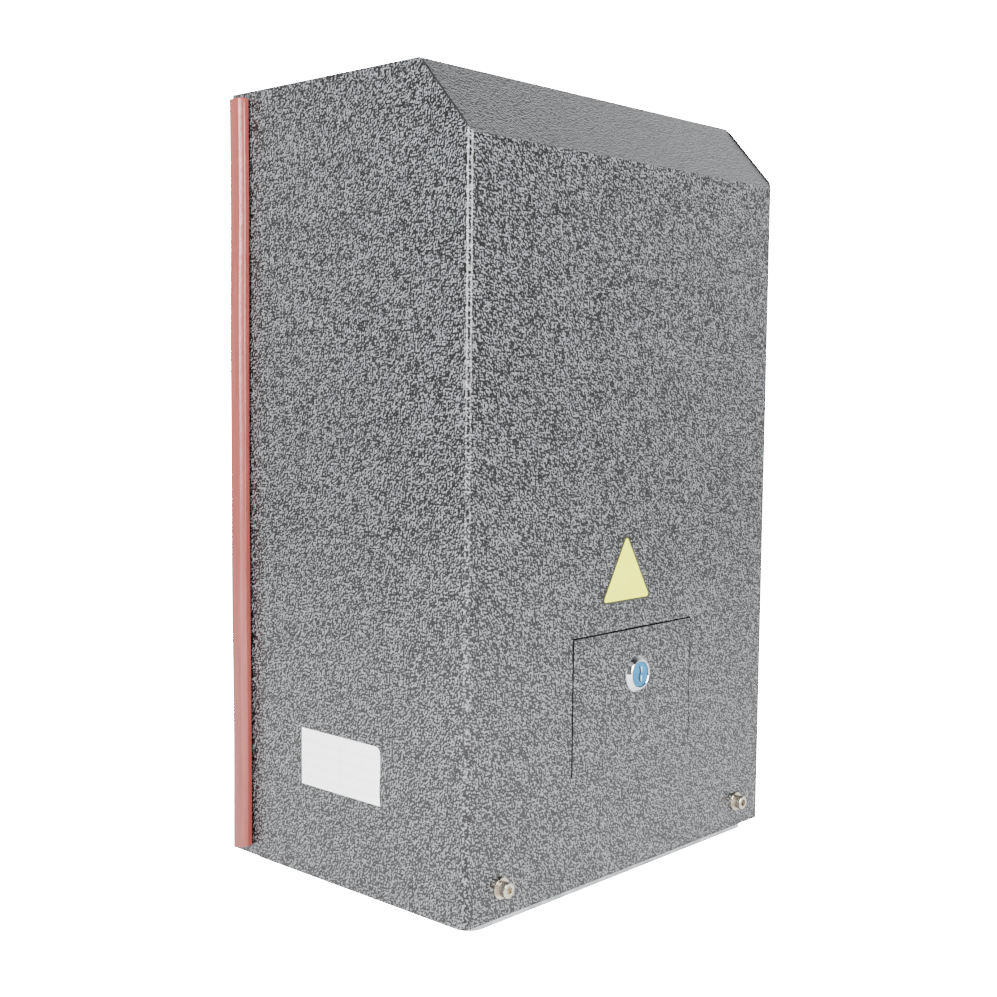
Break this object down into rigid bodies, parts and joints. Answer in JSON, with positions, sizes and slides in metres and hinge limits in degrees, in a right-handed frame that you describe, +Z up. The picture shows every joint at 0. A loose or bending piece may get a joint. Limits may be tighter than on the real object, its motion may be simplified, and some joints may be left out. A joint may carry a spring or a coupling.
{
  "type": "sliding gate motor",
  "caption": "Floor-mounted sliding gate operator: sheet hood with a keyed release door over a worm gearbox, upright motor and rack pinion.",
  "frame": {"origin": "centre of the anchor plate's underside, where it stands on the foundation", "axes": "+Z up; -Y is the front with the release door; +Y is the gate side with the pinion; +X is the right side seen from the front"},
  "size_m": [0.3516, 0.2806, 0.546],
  "materials": {
    "hammered_paint": "hammer-finish stoving enamel, semi-gloss",
    "galvanised": "hot-dip galvanised plate",
    "strip_pvc": "soft extruded PVC",
    "stainless": "bright stainless fasteners",
    "cast_aluminium": "sand-cast, shot-blasted",
    "extruded_aluminium": "extruded, natural",
    "bearing_steel": "ground ring steel",
    "seal_rubber": "moulded nitrile",
    "shaft_steel": "turned and ground carbon steel",
    "gear_steel": "machined gear steel, oiled",
    "gear_bronze": "machined bronze",
    "lamination": "stacked electrical steel",
    "copper_winding": "enamelled copper, varnished",
    "black_plastic": "moulded thermoplastic",
    "board_green": "solder-masked laminate",
    "terminal_green": "moulded terminal housing",
    "capacitor_white": "moulded capacitor case",
    "zinc_sheet": "zinc-plated sheet",
    "spring_steel": "oil-tempered spring wire",
    "lever_paint": "powder-coated casting",
    "grip_orange": "moulded grip",
    "lock_chrome": "chromed die casting",
    "lock_blue": "moulded key dial"
  },
  "bodies": {
    "chassis": {"base_plate": "galvanised", "cable_grommet": "seal_rubber", "cover_brackets": "galvanised", "cover": "hammered_paint", "trim_strip_left": "strip_pvc", "trim_strip_right": "strip_pvc", "cover_screws": "stainless", "cover_washers": "stainless", "cover_weld_nuts": "zinc_sheet", "gearbox_housing": "cast_aluminium", "gearbox_cover": "cast_aluminium", "gearbox_cover_screws": "stainless", "gearbox_foot_bolts": "stainless", "front_bearing": "bearing_steel", "rear_bearing": "bearing_steel", "output_seal": "seal_rubber", "upright_bearings": "bearing_steel", "oil_plug": "zinc_sheet", "motor_flange": "cast_aluminium", "stator_housing": "extruded_aluminium", "terminal_box": "black_plastic", "stator_core": "lamination", "stator_winding": "copper_winding", "motor_endbell": "cast_aluminium", "fan_cowl": "black_plastic", "motor_tie_bolts": "zinc_sheet", "limit_switch": "black_plastic", "limit_switch_bracket": "zinc_sheet", "board_bracket": "zinc_sheet", "control_board": "board_green", "board_standoffs": "stainless", "relays": "black_plastic", "terminal_blocks": "terminal_green", "transformer": "lamination", "run_capacitor": "capacitor_white", "capacitor_clip": "zinc_sheet"},
    "door": {"release_door": "hammered_paint", "lock_barrel": "lock_chrome", "lock_nut": "zinc_sheet"},
    "lock": {"lock_plug": "lock_blue", "lock_cam": "zinc_sheet"},
    "output": {"output_shaft": "shaft_steel", "output_pinion": "gear_steel", "pinion_key": "shaft_steel", "pinion_bolt": "zinc_sheet"},
    "wheel": {"worm_wheel_rim": "gear_bronze", "worm_wheel_hub": "gear_steel"},
    "rotor": {"worm_shaft": "shaft_steel", "rotor_core": "lamination", "cooling_fan": "black_plastic"},
    "clutch": {"clutch_sleeve": "gear_steel", "clutch_pin": "shaft_steel", "push_rod": "shaft_steel", "clutch_spring": "spring_steel"},
    "bush": {"release_bush": "gear_steel"},
    "release": {"release_cam": "gear_steel", "release_lever": "lever_paint", "release_grip": "grip_orange", "lever_screw": "stainless"},
    "feeler": {"limit_feeler": "spring_steel"}
  },
  "joints": [
    {"name": "rotor_spin", "type": "hinge", "parent": "chassis", "child": "rotor", "pos_m": [-0.078, 0.014, 0.3], "axis": [0, 0, -1], "continuous": true},
    {"name": "wheel_spin", "type": "hinge", "parent": "chassis", "child": "wheel", "pos_m": [0, 0.014, 0.13], "axis": [0, 1, 0], "continuous": true},
    {"name": "output_spin", "type": "hinge", "parent": "chassis", "child": "output", "pos_m": [0, 0.06, 0.13], "axis": [0, 1, 0], "continuous": true},
    {"name": "release_turn", "type": "hinge", "parent": "chassis", "child": "release", "pos_m": [0, -0.09, 0.13], "axis": [0, -1, 0], "range_deg": [0, 90]},
    {"name": "bush_slide", "type": "slide", "parent": "chassis", "child": "bush", "axis": [0, 1, 0], "range_m": [0, 0.007]},
    {"name": "clutch_slide", "type": "slide", "parent": "output", "child": "clutch", "axis": [0, 1, 0], "range_m": [0, 0.007], "deforming": ["clutch_spring"]},
    {"name": "door_tilt", "type": "hinge", "parent": "chassis", "child": "door", "pos_m": [0, -0.117, 0.083], "axis": [1, 0, 0], "range_deg": [0, 40]},
    {"name": "lock_turn", "type": "hinge", "parent": "door", "child": "lock", "pos_m": [0.006, -0.117, 0.144], "axis": [0, -1, 0], "range_deg": [0, 90]},
    {"name": "feeler_swing", "type": "hinge", "parent": "chassis", "child": "feeler", "pos_m": [0, 0.084, 0.212], "axis": [0, 0, 1], "range_deg": [-20, 20], "stiffness_Nm_per_rad": 0.4}
  ],
  "couplings": [
    {"joint": "wheel_spin", "follows": "rotor_spin", "ratio": 0.025},
    {"joint": "output_spin", "follows": "rotor_spin", "ratio": 0.025},
    {"joint": "bush_slide", "follows": "release_turn", "m_per_rad": 0.0044563},
    {"joint": "clutch_slide", "follows": "release_turn", "m_per_rad": 0.0044563}
  ]
}
